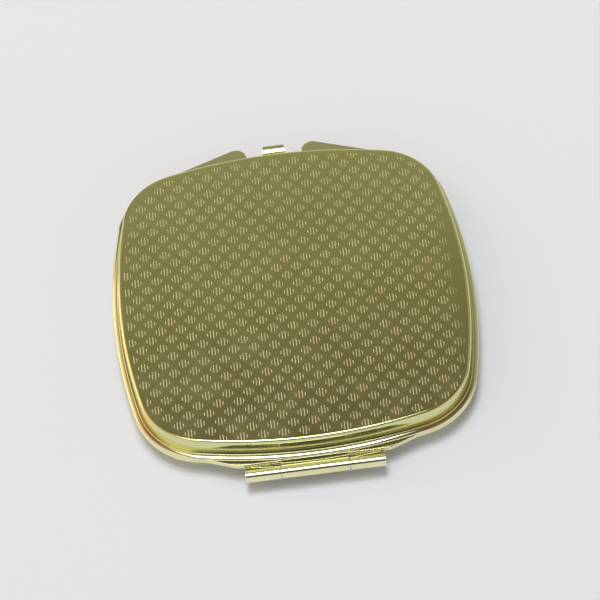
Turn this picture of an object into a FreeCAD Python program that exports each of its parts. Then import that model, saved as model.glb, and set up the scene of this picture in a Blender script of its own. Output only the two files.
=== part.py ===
"""Powder compact: hinged lid with an engraved dome and a mirror, base with a powder pan and a puff.

Frame: +Z up, +Y from the hinge to the catch, +X to the right with the hinge towards the viewer.
Origin: centre of the underside of the base. Millimetres.
"""
import FreeCAD, Part
import math
import os

import Sketcher

V = FreeCAD.Vector
ON_X_AXIS, ON_Y_AXIS = -1, -2          # the two axes of a sketch, in Sketcher's numbering
START, END, CENTRE = 1, 2, 3           # the points of an arc, in Sketcher's numbering

# ---------------------------------------------------------------- driving dimensions
SIZES = {
    # outline of the dome: four bulging sides joined by tangent corners
    "half_width": 31.0,
    "side_radius": 92.25,
    "corner_radius": 11.75,
    # how far each outline lies inside that of the dome (negative: outside it)
    "dome_inset": 0.0,
    "flange_inset": -1.2,
    "bead_inset": -0.35,
    "dome_inner_inset": 0.45,
    "lid_opening_inset": 2.45,
    "base_opening_inset": 1.85,
    "tray_inset": 1.9,
    "shell_inset": 0.85,
    "shell_inner_inset": 1.3,
    "bezel_inset": 0.5,
    "bezel_skirt_inset": 1.2,
    "bezel_opening_inset": 4.4,
    "mirror_inset": 1.3,
    "card_inset": 1.6,
    "cushion_inset": 5.0,
    # base shell
    "floor_z": 0.0,
    "shell_height": 2.3,
    "shell_floor": 0.45,
    "shell_inner_depth": 1.85,
    "shell_edge_radius": 1.0,
    # base frame
    "base_rim_z": 2.3,
    "base_rim_height": 0.8,
    "base_plate_z": 2.6,
    "plate_thickness": 0.5,
    # lid frame
    "lid_plate_z": 3.15,
    "lid_plate_thickness": 0.45,
    "lid_rim_z": 3.6,
    "lid_rim_height": 0.35,
    "lid_rim_edge_radius": 0.3,
    "bead_z": 3.95,
    "bead_height": 0.15,
    "lid_rim_total": 0.5,
    # engraved panel
    "panel_height": 3.86,
    "panel_inner_depth": 3.3,
    "panel_edge_radius": 0.6,
    "crown_radius": 4237.0,
    "crown_top_z": 7.46,
    "crown_reach": 46.0,
    # finger ears beside the thumb notch
    "notch_half_width": 5.1,
    "ear_end_radius": 2.0,
    "ear_peak_y": 35.5,
    "ear_slope": 19.6,
    "ear_reach_x": 22.6,
    # tab under the hinge
    "tab_y": -32.35,
    "tab_half_width": 12.6,
    "tab_corner_radius": 3.0,
    "tab_slope": 24.0,
    # hinge
    "hinge_y": -34.33,
    "hinge_z": 2.9,
    "knuckle_radius": 1.1,
    "pin_bore_radius": 0.65,
    "pin_radius": 0.6,
    "pin_length": 24.0,
    "lid_knuckle_length": 11.7,
    "base_knuckle_start": 5.95,
    "base_knuckle_length": 6.15,
    "strap_step": 0.05,
    "strap_overlap": 0.5,
    "base_strap_y": -33.48,
    "lid_strap_y": -33.78,
    "lid_strap_drop": 0.15,
    # tray with the pan's well
    "tray_z": 2.6,
    "tray_thickness": 0.35,
    "well_radius": 25.2,
    "well_outer_radius": 25.6,
    "well_height": 2.15,
    "hook_slot_half_width": 2.3,
    "hook_slot_y": 26.0,
    "hook_slot_end_y": 31.0,
    "lift_notch_radius": 3.0,
    # pan, powder and puff
    "pan_radius": 25.1,
    "pan_inner_radius": 24.75,
    "pan_z": 0.6,
    "pan_height": 2.3,
    "pan_inner_z": 0.95,
    "pan_pad_radius": 18.0,
    "pan_pad_thickness": 0.15,
    "powder_radius": 24.7,
    "powder_height": 1.65,
    "powder_edge_radius": 0.3,
    "puff_radius": 22.5,
    "puff_pad_z": 2.65,
    "puff_pad_height": 1.8,
    "puff_top_z": 4.45,
    "puff_top_height": 0.4,
    "puff_edge_radius": 0.35,
    "ribbon_z": 4.85,
    "ribbon_thickness": 0.15,
    "ribbon_half_width": 5.0,
    "ribbon_half_length": 21.0,
    # mirror, its card, cushion and bezel
    "bezel_z": 4.95,
    "bezel_lip": 0.3,
    "bezel_height": 1.95,
    "mirror_z": 5.25,
    "mirror_thickness": 1.1,
    "card_z": 6.35,
    "card_thickness": 0.15,
    "cushion_z": 6.5,
    "cushion_thickness": 0.4,
    # sliding catch
    "catch_width": 4.0,
    "strip": 0.35,
    "foot_z": 0.85,
    "hook_y": 26.9,
    "hook_tip_y": 28.47,
    "hook_top_z": 4.05,
    "lip_root_y": 33.95,
    "leg_y": 33.15,
    "shoulder_z": 4.29,
    "lip_y": 34.75,
    "lip_z": 4.55,
    "slot_clearance": 0.15,
    # guide, spring and rivets of the catch
    "guide_half_width": 6.5,
    "guide_y": 27.5,
    "guide_depth": 1.9,
    "guide_height": 1.85,
    "guide_clearance": 0.03,
    "channel_overrun": 1.0,
    "spring_half_length": 6.0,
    "spring_bow": 0.55,
    "spring_leaf": 0.15,
    "spring_z": 1.4,
    "spring_height": 0.7,
    "rivet_x": 4.4,
    "rivet_y": 28.2,
    "rivet_radius": 0.5,
    "rivet_head_radius": 0.7,
    "rivet_shank": 2.3,
    "rivet_head": 0.2,
}

doc = FreeCAD.newDocument("PowderCompact")
sheet = doc.addObject("Spreadsheet::Sheet", "Sizes")
for row, (alias, value) in enumerate(SIZES.items(), start=1):
    sheet.set("A%d" % row, alias)
    sheet.set("B%d" % row, "%g" % value)
    sheet.setAlias("B%d" % row, alias)
doc.recompute()

S = type("Sizes", (), {alias: float(getattr(sheet, alias)) for alias in SIZES})
NODES = []


# ---------------------------------------------------------------- helpers
def new_body(label):
    """A body whose label names its node."""
    body = doc.addObject("PartDesign::Body", label)
    body.Label = label
    NODES.append(body)
    return body


def new_sketch(body, name, plane="XY_Plane", height=None):
    """A sketch on one of the body's origin planes, lifted along its normal to the cell `height`."""
    sketch = body.newObject("Sketcher::SketchObject", name)
    origin_plane = next(f for f in body.Origin.OriginFeatures if f.Role == plane)
    sketch.AttachmentSupport = [(origin_plane, "")]
    sketch.MapMode = "FlatFace"
    if height:
        sketch.setExpression(".AttachmentOffset.Base.z", "Sizes." + height)
    return sketch


def cushion(sketch, inset):
    """The bulging square outline, pulled in by the cell `inset`; every radius is bound to the sheet."""
    shift = getattr(S, inset)
    side = S.side_radius - shift
    corner = S.corner_radius - shift
    side_centre = S.side_radius - S.half_width
    between = S.side_radius - S.corner_radius
    corner_centre = (math.sqrt(2 * between**2 - side_centre**2) - side_centre) / 2
    half_angle = math.atan2(corner_centre, corner_centre + side_centre)
    for quarter in range(4):
        turn = quarter * math.pi / 2
        spin = FreeCAD.Rotation(V(0, 0, 1), math.degrees(turn))
        side_at = spin.multVec(V(-side_centre, 0, 0))
        corner_at = spin.multVec(V(corner_centre, corner_centre, 0))
        up = V(0, 0, 1)
        side_arc = Part.ArcOfCircle(Part.Circle(side_at, up, side), turn - half_angle, turn + half_angle)
        corner_arc = Part.ArcOfCircle(
            Part.Circle(corner_at, up, corner), turn + half_angle, turn + math.pi / 2 - half_angle
        )
        sketch.addGeometry(side_arc, False)
        sketch.addGeometry(corner_arc, False)
    add = sketch.addConstraint
    for arc in range(8):
        add(Sketcher.Constraint("Tangent", arc, END, (arc + 1) % 8, START))
    for quarter, axis in enumerate((ON_X_AXIS, ON_Y_AXIS, ON_X_AXIS, ON_Y_AXIS)):
        add(Sketcher.Constraint("PointOnObject", 2 * quarter, CENTRE, axis))
    distances = (
        ("DistanceX", 0, CENTRE, -1, START),
        ("DistanceY", 2, CENTRE, -1, START),
        ("DistanceX", -1, START, 4, CENTRE),
        ("DistanceY", -1, START, 6, CENTRE),
    )
    for distance in distances:
        index = add(Sketcher.Constraint(*distance, side_centre))
        sketch.setExpression("Constraints[%d]" % index, "Sizes.side_radius - Sizes.half_width")
    for first, radius, cell in ((0, side, "side_radius"), (1, corner, "corner_radius")):
        for quarter in range(1, 4):
            add(Sketcher.Constraint("Equal", first, first + 2 * quarter))
        index = add(Sketcher.Constraint("Radius", first, radius))
        sketch.setExpression("Constraints[%d]" % index, "Sizes.%s - Sizes.%s" % (cell, inset))


def circle(sketch, x, y, radius_cell):
    """A circle whose radius is bound to the sheet, with its centre locked at (x, y)."""
    index = sketch.addGeometry(Part.Circle(V(x, y, 0), V(0, 0, 1), getattr(S, radius_cell)), False)
    if x == 0 and y == 0:
        sketch.addConstraint(Sketcher.Constraint("Coincident", index, CENTRE, -1, START))
    else:
        sketch.addConstraint(Sketcher.Constraint("DistanceX", -1, START, index, CENTRE, x))
        sketch.addConstraint(Sketcher.Constraint("DistanceY", -1, START, index, CENTRE, y))
    radius = sketch.addConstraint(Sketcher.Constraint("Radius", index, getattr(S, radius_cell)))
    sketch.setExpression("Constraints[%d]" % radius, "Sizes." + radius_cell)


def polygon(sketch, points):
    """A closed outline of straight lines, with its corners joined and held in place."""
    first = sketch.GeometryCount
    corners = [V(x, y, 0) for x, y in points]
    for start, end in zip(corners, corners[1:] + corners[:1]):
        sketch.addGeometry(Part.LineSegment(start, end), False)
    count = len(corners)
    for side in range(count):
        following = first + (side + 1) % count
        sketch.addConstraint(Sketcher.Constraint("Coincident", first + side, END, following, START))
    for side in range(count):
        sketch.addConstraint(Sketcher.Constraint("Block", first + side))


def arc_chain(sketch, pieces):
    """A closed outline of lines (two points) and arcs (three points), each held in place."""
    first = sketch.GeometryCount
    for piece in pieces:
        points = [V(x, y, 0) for x, y in piece]
        if len(points) == 2:
            sketch.addGeometry(Part.LineSegment(*points), False)
        else:
            sketch.addGeometry(Part.Arc(*points), False)
    for index in range(len(pieces)):
        sketch.addConstraint(Sketcher.Constraint("Block", first + index))


def extrude(body, kind, sketch, length_cell, **settings):
    """A Pad or a Pocket whose length is a cell of the sheet."""
    name = {"Pad": "PartDesign::Pad", "Pocket": "PartDesign::Pocket"}[kind]
    before = 0.0 if body.Shape.isNull() else body.Shape.Volume
    feature = body.newObject(name, sketch.Name + "_" + kind)
    feature.Profile = sketch
    feature.setExpression("Length", "Sizes." + length_cell)
    for setting, value in settings.items():
        setattr(feature, setting, value)
    sketch.Visibility = False
    body.Tip = feature
    doc.recompute()
    change = body.Shape.Volume - before
    if change * (1 if kind == "Pad" else -1) <= 0:
        raise ValueError("%s changes nothing in %s" % (feature.Name, body.Label))
    return feature


def pad_cushion(body, name, inset, height, length):
    sketch = new_sketch(body, name, height=height)
    cushion(sketch, inset)
    return extrude(body, "Pad", sketch, length)


def cut_cushion(body, name, inset, height, length):
    """A cushion-shaped pocket that rises from the cell `height`."""
    sketch = new_sketch(body, name, height=height)
    cushion(sketch, inset)
    return extrude(body, "Pocket", sketch, length, Reversed=True)


def pad_circle(body, name, radius, height, length):
    sketch = new_sketch(body, name, height=height)
    circle(sketch, 0, 0, radius)
    return extrude(body, "Pad", sketch, length)


def round_edges(body, name, radius_cell, chosen):
    """Fillets the edges of the tip for which chosen(edge) is true."""
    tip = body.Tip
    edges = ["Edge%d" % (n + 1) for n, edge in enumerate(tip.Shape.Edges) if chosen(edge)]
    fillet = body.newObject("PartDesign::Fillet", name)
    fillet.Base = (tip, edges)
    fillet.setExpression("Radius", "Sizes." + radius_cell)
    body.Tip = fillet
    doc.recompute()
    return fillet


def add_ears(body, prefix, height, thickness):
    """The pair of finger ears that flank the thumb notch, on the side opposite the hinge."""
    slope = math.radians(S.ear_slope)
    radius = S.ear_end_radius
    centre = (S.notch_half_width + radius, S.ear_peak_y - radius)
    leaving = (centre[0] + radius * math.sin(slope), centre[1] + radius * math.cos(slope))
    reach = S.ear_reach_x
    landing = (reach, leaving[1] - (reach - leaving[0]) * math.tan(slope))
    middle = math.radians(180 - (90 + S.ear_slope) / 2)
    bend = (centre[0] + radius * math.cos(middle), centre[1] + radius * math.sin(middle))
    inner_y = S.half_width - S.base_opening_inset / 2
    start = (S.notch_half_width, inner_y)
    heel = (reach, S.half_width - 3 * S.base_opening_inset)
    for side, sign in (("right", 1), ("left", -1)):
        sketch = new_sketch(body, prefix + "_ear_" + side, height=height)
        outline = (
            (start, (S.notch_half_width, centre[1])),
            ((S.notch_half_width, centre[1]), bend, leaving),
            (leaving, landing),
            (landing, heel),
            (heel, start),
        )
        arc_chain(sketch, [[(sign * x, y) for x, y in piece] for piece in outline])
        extrude(body, "Pad", sketch, thickness)


def add_tab(body, prefix, height, thickness):
    """The straight-edged tab beside the hinge, with softened shoulders that run into the flange."""
    slope = math.radians(S.tab_slope)
    radius = S.tab_corner_radius
    half = S.tab_half_width
    leaving = (half + radius * math.sin(slope), S.tab_y + radius * (1 - math.cos(slope)))
    bend = (
        half + radius * math.sin(slope / 2),
        S.tab_y + radius * (1 - math.cos(slope / 2)),
    )
    inner_y = -(S.half_width - S.base_opening_inset / 2)
    rise = (inner_y - leaving[1]) / math.tan(slope)
    landing = (leaving[0] + rise, inner_y)
    sketch = new_sketch(body, prefix + "_tab", height=height)

    def flip(point):
        return (-point[0], point[1])

    edge = (half, S.tab_y)
    arc_chain(sketch, (
        (flip(edge), edge),
        (edge, bend, leaving),
        (leaving, landing),
        (landing, flip(landing)),
        (flip(landing), flip(leaving)),
        (flip(leaving), flip(bend), flip(edge)),
    ))
    extrude(body, "Pad", sketch, thickness)


def flat_frame(body, prefix, height, thickness):
    """A stamped plate: flange outline, hinge tab and finger ears."""
    pad_cushion(body, prefix + "_plate", "flange_inset", height, thickness)
    add_tab(body, prefix, height, thickness)
    add_ears(body, prefix, height, thickness)


# ---------------------------------------------------------------- base
def make_base_shell():
    """The drawn dish that stands on the table, slotted for the catch and drilled for its rivets."""
    body = new_body("base_shell")
    pad_cushion(body, "shell_outer", "shell_inset", "floor_z", "shell_height")
    round_edges(body, "shell_foot_radius", "shell_edge_radius", lambda e: e.BoundBox.ZMax < 0.01)
    cut_cushion(body, "shell_inner", "shell_inner_inset", "shell_floor", "shell_inner_depth")
    slot = new_sketch(body, "catch_slot", "YZ_Plane")
    low = S.foot_z - S.slot_clearance
    high = S.foot_z + S.strip + S.slot_clearance
    outer = S.half_width
    inner = S.half_width - 2 * S.shell_inner_inset
    polygon(slot, ((inner, low), (outer, low), (outer, high), (inner, high)))
    slot_cut = extrude(body, "Pocket", slot, "catch_width", Midplane=True)
    slot_cut.setExpression("Length", "Sizes.catch_width + 2 * Sizes.slot_clearance")
    holes = new_sketch(body, "rivet_holes")
    for side in (-1, 1):
        circle(holes, side * S.rivet_x, S.rivet_y, "rivet_radius")
    extrude(body, "Pocket", holes, "shell_floor", Reversed=True)


def bore_and_ring(body, prefix, length, offset=None):
    """Adds one rolled knuckle round the hinge axis and bores it for the pin."""
    for kind, radius in (("Pad", "knuckle_radius"), ("Pocket", "pin_bore_radius")):
        sketch = new_sketch(body, "%s_%s" % (prefix, kind.lower()), "YZ_Plane")
        if offset:
            sketch.setExpression(".AttachmentOffset.Base.z", offset)
        circle(sketch, S.hinge_y, S.hinge_z, radius)
        extrude(body, kind, sketch, length, Midplane=True)


def make_base_frame():
    """The stamped frame round the base: deep rim, lower ears, hinge tab and the two outer knuckles."""
    body = new_body("base_frame")
    flat_frame(body, "base", "base_plate_z", "plate_thickness")
    pad_cushion(body, "base_rim", "flange_inset", "base_rim_z", "base_rim_height")
    cut_cushion(body, "base_opening", "base_opening_inset", "base_rim_z", "base_rim_height")
    strap_top = S.base_plate_z + S.plate_thickness - S.strap_step
    for side, name in ((-1, "left"), (1, "right")):
        offset = "%d * (Sizes.base_knuckle_start + Sizes.base_knuckle_length / 2)" % side
        strap = new_sketch(body, "base_strap_" + name, "YZ_Plane")
        strap.setExpression(".AttachmentOffset.Base.z", offset)
        root = S.tab_y + S.strap_overlap
        polygon(strap, (
            (root, S.base_plate_z), (root, strap_top),
            (S.base_strap_y, strap_top), (S.base_strap_y, S.base_plate_z),
        ))
        extrude(body, "Pad", strap, "base_knuckle_length", Midplane=True)
        bore_and_ring(body, "base_knuckle_" + name, "base_knuckle_length", offset)


def make_hinge_pin():
    pin = doc.addObject("Part::Cylinder", "hinge_pin")
    pin.Label = "hinge_pin"
    pin.setExpression("Radius", "Sizes.pin_radius")
    pin.setExpression("Height", "Sizes.pin_length")
    pin.Placement = FreeCAD.Placement(
        V(-S.pin_length / 2, S.hinge_y, S.hinge_z), FreeCAD.Rotation(V(0, 1, 0), 90)
    )
    NODES.append(pin)


def make_tray():
    """The deck inside the base: a plate with a round well for the pan."""
    body = new_body("inner_tray")
    pad_cushion(body, "deck", "tray_inset", "tray_z", "tray_thickness")
    pad_circle(body, "well_wall", "well_outer_radius", "shell_floor", "well_height")
    well = new_sketch(body, "well", height="shell_floor")
    circle(well, 0, 0, "well_radius")
    extrude(body, "Pocket", well, "well_height", Reversed=True, Type="ThroughAll")
    slot = new_sketch(body, "hook_slot", height="tray_z")
    half = S.hook_slot_half_width
    end = S.hook_slot_end_y
    polygon(slot, ((-half, S.hook_slot_y), (half, S.hook_slot_y), (half, end), (-half, end)))
    extrude(body, "Pocket", slot, "tray_thickness", Reversed=True)
    notch = new_sketch(body, "lift_notch", height="tray_z")
    circle(notch, 0, -S.well_radius, "lift_notch_radius")
    extrude(body, "Pocket", notch, "tray_thickness", Reversed=True)


def make_pan_pad():
    body = new_body("pan_adhesive")
    pad_circle(body, "adhesive_disc", "pan_pad_radius", "shell_floor", "pan_pad_thickness")


def make_pan():
    """The shallow metal godet that holds the pressed powder."""
    body = new_body("powder_pan")
    pad_circle(body, "pan_outer", "pan_radius", "pan_z", "pan_height")
    inner = new_sketch(body, "pan_inner", height="pan_inner_z")
    circle(inner, 0, 0, "pan_inner_radius")
    extrude(body, "Pocket", inner, "pan_height", Reversed=True)


def make_powder():
    body = new_body("pressed_powder")
    pad_circle(body, "powder_disc", "powder_radius", "pan_inner_z", "powder_height")
    top = S.pan_inner_z + S.powder_height
    round_edges(body, "powder_edge", "powder_edge_radius", lambda e: e.BoundBox.ZMin > top - 0.01)


def make_puff():
    """A velour pad under a satin top, with a ribbon to hold it by."""
    pad = new_body("puff_pad")
    pad_circle(pad, "pile_disc", "puff_radius", "puff_pad_z", "puff_pad_height")
    low = S.puff_pad_z + 0.01
    round_edges(pad, "pile_edge", "puff_edge_radius", lambda e: e.BoundBox.ZMax < low)
    top = new_body("puff_top")
    pad_circle(top, "satin_disc", "puff_radius", "puff_top_z", "puff_top_height")
    high = S.puff_top_z + S.puff_top_height - 0.01
    round_edges(top, "satin_edge", "puff_edge_radius", lambda e: e.BoundBox.ZMin > high)
    ribbon = doc.addObject("Part::Box", "puff_ribbon")
    ribbon.Label = "puff_ribbon"
    ribbon.setExpression("Length", "2 * Sizes.ribbon_half_length")
    ribbon.setExpression("Width", "2 * Sizes.ribbon_half_width")
    ribbon.setExpression("Height", "Sizes.ribbon_thickness")
    ribbon.Placement.Base = V(-S.ribbon_half_length, -S.ribbon_half_width, S.ribbon_z)
    NODES.append(ribbon)


# ---------------------------------------------------------------- catch
def make_catch_slide():
    """One bent strip: hook inside the base, foot through the wall, thumb lip in the notch."""
    body = new_body("catch_slide")
    profile = new_sketch(body, "strip_side_view", "YZ_Plane")
    foot_top = S.foot_z + S.strip
    fall = (S.lip_z - S.shoulder_z) / (S.lip_root_y - S.leg_y)
    shoulder_low = S.shoulder_z - S.strip * (1 - fall)
    polygon(profile, (
        (S.hook_y, S.foot_z), (S.leg_y + S.strip, S.foot_z),
        (S.leg_y + S.strip, shoulder_low), (S.lip_root_y, S.lip_z - S.strip), (S.lip_y, S.lip_z - S.strip),
        (S.lip_y, S.lip_z), (S.lip_root_y, S.lip_z),
        (S.leg_y, S.shoulder_z), (S.leg_y, foot_top), (S.hook_y + S.strip, foot_top),
        (S.hook_y + S.strip, S.hook_top_z - S.strip), (S.hook_tip_y, S.hook_top_z - S.strip),
        (S.hook_tip_y, S.hook_top_z), (S.hook_y, S.hook_top_z),
    ))
    extrude(body, "Pad", profile, "catch_width", Midplane=True)


def make_catch_guide():
    """The block riveted to the floor, with the channel in which the foot of the catch slides."""
    body = new_body("catch_guide")
    block = new_sketch(body, "guide_block", height="shell_floor")
    half = S.guide_half_width
    back = S.guide_y + S.guide_depth
    polygon(block, ((-half, S.guide_y), (half, S.guide_y), (half, back), (-half, back)))
    extrude(body, "Pad", block, "guide_height")
    channel = new_sketch(body, "guide_channel", "YZ_Plane")
    gap = S.guide_clearance
    near = S.guide_y - S.channel_overrun
    far = back + S.channel_overrun
    low = S.foot_z - gap
    high = S.foot_z + S.strip + gap
    polygon(channel, ((near, low), (far, low), (far, high), (near, high)))
    cut = extrude(body, "Pocket", channel, "catch_width", Midplane=True)
    cut.setExpression("Length", "Sizes.catch_width + 2 * Sizes.guide_clearance")
    holes = new_sketch(body, "guide_holes", height="shell_floor")
    for side in (-1, 1):
        circle(holes, side * S.rivet_x, S.rivet_y, "rivet_radius")
    extrude(body, "Pocket", holes, "guide_height", Reversed=True)


def make_catch_spring():
    """The bowed leaf behind the hook, which pushes the catch outwards."""
    body = new_body("catch_spring")
    leaf = new_sketch(body, "bowed_leaf", height="spring_z")
    half = S.spring_half_length
    front = S.guide_y
    middle = S.guide_y - S.spring_bow - S.spring_leaf
    rear_end = front - S.spring_leaf
    arc_chain(leaf, (
        ((-half, front), (0, middle), (half, front)),
        ((half, front), (half, rear_end)),
        ((half, rear_end), (0, middle - S.spring_leaf), (-half, rear_end)),
        ((-half, rear_end), (-half, front)),
    ))
    extrude(body, "Pad", leaf, "spring_height")


def make_catch_rivets():
    """The two rivets that hold the guide to the floor of the base."""
    parts = []
    for side in (-1, 1):
        for name, radius, length, base_z in (
            ("shank", "rivet_radius", "rivet_shank", 0.0),
            ("head", "rivet_head_radius", "rivet_head", S.rivet_shank),
        ):
            post = doc.addObject("Part::Cylinder", "rivet_%s" % name)
            post.setExpression("Radius", "Sizes." + radius)
            post.setExpression("Height", "Sizes." + length)
            post.Placement.Base = V(side * S.rivet_x, S.rivet_y, base_z)
            parts.append(post)
    rivets = doc.addObject("Part::MultiFuse", "catch_rivets")
    rivets.Shapes = parts
    rivets.Label = "catch_rivets"
    NODES.append(rivets)


# ---------------------------------------------------------------- lid
def make_lid_frame():
    """The stamped lid frame: plate, raised rim and bead round the dome, and the rolled knuckle."""
    body = new_body("lid_frame")
    flat_frame(body, "lid", "lid_plate_z", "lid_plate_thickness")
    pad_cushion(body, "lid_rim", "flange_inset", "lid_rim_z", "lid_rim_height")
    rim_top = S.lid_rim_z + S.lid_rim_height
    round_edges(body, "lid_rim_edge", "lid_rim_edge_radius", lambda e: e.BoundBox.ZMin > rim_top - 0.01)
    pad_cushion(body, "lid_bead", "bead_inset", "bead_z", "bead_height")
    cut_cushion(body, "dome_seat", "dome_inset", "lid_rim_z", "lid_rim_total")
    cut_cushion(body, "lid_opening", "lid_opening_inset", "lid_plate_z", "lid_plate_thickness")
    plate_top = S.lid_plate_z + S.lid_plate_thickness
    top = S.hinge_z + S.knuckle_radius
    strap = new_sketch(body, "strap", "YZ_Plane")
    root = S.tab_y + S.strap_overlap
    polygon(strap, (
        (root, S.lid_plate_z), (root, plate_top), (S.tab_y, plate_top),
        (S.lid_strap_y, top - S.lid_strap_drop), (S.hinge_y, top),
        (S.hinge_y, top - S.plate_thickness), (S.hinge_y + S.knuckle_radius, S.lid_plate_z),
    ))
    extrude(body, "Pad", strap, "lid_knuckle_length", Midplane=True)
    bore_and_ring(body, "lid_knuckle", "lid_knuckle_length")


def crown_height(radius):
    """Height of the crowned top at a distance from the middle of the dome."""
    return S.crown_top_z - S.crown_radius + math.sqrt(S.crown_radius**2 - radius**2)


def make_lid_panel():
    """The engraved dome: a drawn dish with an upright wall, its top crowned by a large sphere."""
    dish = new_body("panel_dish")
    NODES.remove(dish)
    pad_cushion(dish, "panel_outer", "dome_inset", "lid_rim_z", "panel_height")
    top = S.lid_rim_z + S.panel_height
    round_edges(dish, "panel_edge", "panel_edge_radius", lambda e: e.BoundBox.ZMin > top - 0.01)
    cut_cushion(dish, "panel_inner", "dome_inner_inset", "lid_rim_z", "panel_inner_depth")
    cap = new_body("crown_cap")
    NODES.remove(cap)
    profile = new_sketch(cap, "crown_profile", "XZ_Plane")
    reach = S.crown_reach
    rim = (reach, crown_height(reach))
    arc_chain(profile, (
        ((0, crown_height(0)), (reach / 2, crown_height(reach / 2)), rim),
        (rim, (reach, 0)),
        ((reach, 0), (0, 0)),
        ((0, 0), (0, crown_height(0))),
    ))
    turned = cap.newObject("PartDesign::Revolution", "crown_turned")
    turned.Profile = profile
    turned.ReferenceAxis = (profile, ["V_Axis"])
    turned.Angle = 360
    cap.Tip = turned
    panel = doc.addObject("Part::Common", "lid_panel")
    panel.Base = dish
    panel.Tool = cap
    panel.Label = "lid_panel"
    NODES.append(panel)


def make_mirror_group():
    """The mirror, held by its bezel against a card and a foam cushion."""
    bezel = new_body("mirror_bezel")
    pad_cushion(bezel, "bezel_outer", "bezel_inset", "bezel_z", "bezel_height")
    cut_cushion(bezel, "bezel_bed", "bezel_skirt_inset", "mirror_z", "bezel_height")
    cut_cushion(bezel, "bezel_opening", "bezel_opening_inset", "bezel_z", "bezel_lip")
    layers = (
        ("mirror", "mirror_inset", "mirror_z", "mirror_thickness"),
        ("mirror_card", "card_inset", "card_z", "card_thickness"),
        ("mirror_cushion", "cushion_inset", "cushion_z", "cushion_thickness"),
    )
    for label, inset, height, thickness in layers:
        layer = new_body(label)
        pad_cushion(layer, label + "_outline", inset, height, thickness)


# ---------------------------------------------------------------- build, check, write
def check_document():
    doc.recompute()
    for item in doc.Objects:
        if "Invalid" in item.State or "Error" in item.State:
            raise ValueError("%s failed: %s" % (item.Name, item.State))
    for node in NODES:
        if node.Shape.isNull() or not node.Shape.isValid():
            raise ValueError("%s has no valid shape" % node.Label)


def write_steps():
    os.makedirs("parts", exist_ok=True)
    for node in NODES:
        node.Shape.exportStep("parts/%s.step" % node.Label)
        box = node.Shape.BoundBox
        print("%-16s %8.1f mm3  z %.2f to %.2f" % (node.Label, node.Shape.Volume, box.ZMin, box.ZMax))


make_base_shell()
make_base_frame()
make_hinge_pin()
make_tray()
make_pan_pad()
make_pan()
make_powder()
make_puff()
make_catch_slide()
make_catch_guide()
make_catch_spring()
make_catch_rivets()
make_lid_frame()
make_lid_panel()
make_mirror_group()
check_document()
write_steps()
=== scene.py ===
"""Looks of the powder compact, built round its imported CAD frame.

The frame is the part's own: +Z up, +Y from the hinge to the catch, origin under the middle of the base.
Shapes are worked out in millimetres and become metres when a mesh is made.
"""

import math
import random

import bmesh
import bpy
from mathutils import Matrix, Vector, noise
from mathutils.geometry import delaunay_2d_cdt


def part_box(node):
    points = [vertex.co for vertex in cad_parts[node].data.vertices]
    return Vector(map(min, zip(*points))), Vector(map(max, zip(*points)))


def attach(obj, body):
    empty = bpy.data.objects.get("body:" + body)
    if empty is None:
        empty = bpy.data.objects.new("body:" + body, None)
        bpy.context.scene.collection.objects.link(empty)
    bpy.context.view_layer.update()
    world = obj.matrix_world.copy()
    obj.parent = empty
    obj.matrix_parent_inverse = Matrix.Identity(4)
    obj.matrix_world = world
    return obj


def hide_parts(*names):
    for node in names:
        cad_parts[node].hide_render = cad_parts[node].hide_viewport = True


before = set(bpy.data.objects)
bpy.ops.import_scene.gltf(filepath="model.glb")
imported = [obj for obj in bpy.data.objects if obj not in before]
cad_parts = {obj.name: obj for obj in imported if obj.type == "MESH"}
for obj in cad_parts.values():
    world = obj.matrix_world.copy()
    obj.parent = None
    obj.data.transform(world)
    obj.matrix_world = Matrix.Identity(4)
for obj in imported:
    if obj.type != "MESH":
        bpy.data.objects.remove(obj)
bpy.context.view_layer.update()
MM = 0.001


def box_mm(node):
    """Lowest and highest corner of a CAD node, in millimetres."""
    low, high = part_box(node)
    return low / MM, high / MM


def add(name, data):
    """A new object in the scene."""
    made = bpy.data.objects.new(name, data)
    bpy.context.scene.collection.objects.link(made)
    return made


# ---------------------------------------------------------------- sizes, in millimetres
DOME_LOW, DOME_HIGH = box_mm("lid_panel")
HALF_WIDTH = DOME_HIGH.x
SIDE_RADIUS = 92.25
CORNER_RADIUS = 11.75
CROWN_TOP = DOME_HIGH.z
CROWN_RADIUS = 4237.0
DOME_EDGE = 0.6
DOME_WALL = 0.45
DOME_CEILING = 6.9
DOME_WALL_RING = 1.5                 # height of the ring of points part-way up the wall

FLANGE = -1.2                        # outlines are named by how far inside the dome's they lie
BEAD = -0.37
LID_OPENING = 2.45
BASE_OPENING = 1.85

LID_PLATE_LOW = 3.15
LID_PLATE_HIGH = DOME_LOW.z
LID_RIM_HIGH = 3.95
BEAD_HIGH = 4.1
BASE_RIM_LOW = 2.3
BASE_PLATE_LOW = 2.6
BASE_PLATE_HIGH = 3.1
PLATE_EDGE = 0.09
SEAM = 0.01                          # hairline between parts that touch, so that no faces coincide
SHELL_FLOOR = 0.45

PIN_LOW, PIN_HIGH = box_mm("hinge_pin")
HINGE_Y = (PIN_LOW.y + PIN_HIGH.y) / 2
HINGE_Z = (PIN_LOW.z + PIN_HIGH.z) / 2
PIN_RADIUS = (PIN_HIGH.z - PIN_LOW.z) / 2
KNUCKLE_RADIUS = 1.1
KNUCKLE_STRIP = 0.45
LID_KNUCKLE = (-5.85, 5.85)
BASE_KNUCKLES = ((-12.1, -5.95), (5.95, 12.1))
LID_ROLL = (62.0, 292.0)             # where each roll leaves its tab and how far it goes, in degrees
BASE_ROLL = (18.0, 300.0)

TAB_Y = -32.35
TAB_HALF = 12.6
TAB_CORNER = 3.0
TAB_SLOPE = math.radians(24.0)
NOTCH_HALF = 5.1
EAR_END = 2.0
EAR_PEAK = 35.5
EAR_SLOPE = math.radians(19.6)
EAR_REACH = 22.6

SIDE_STEPS = 24
CORNER_STEPS = 26


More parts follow.
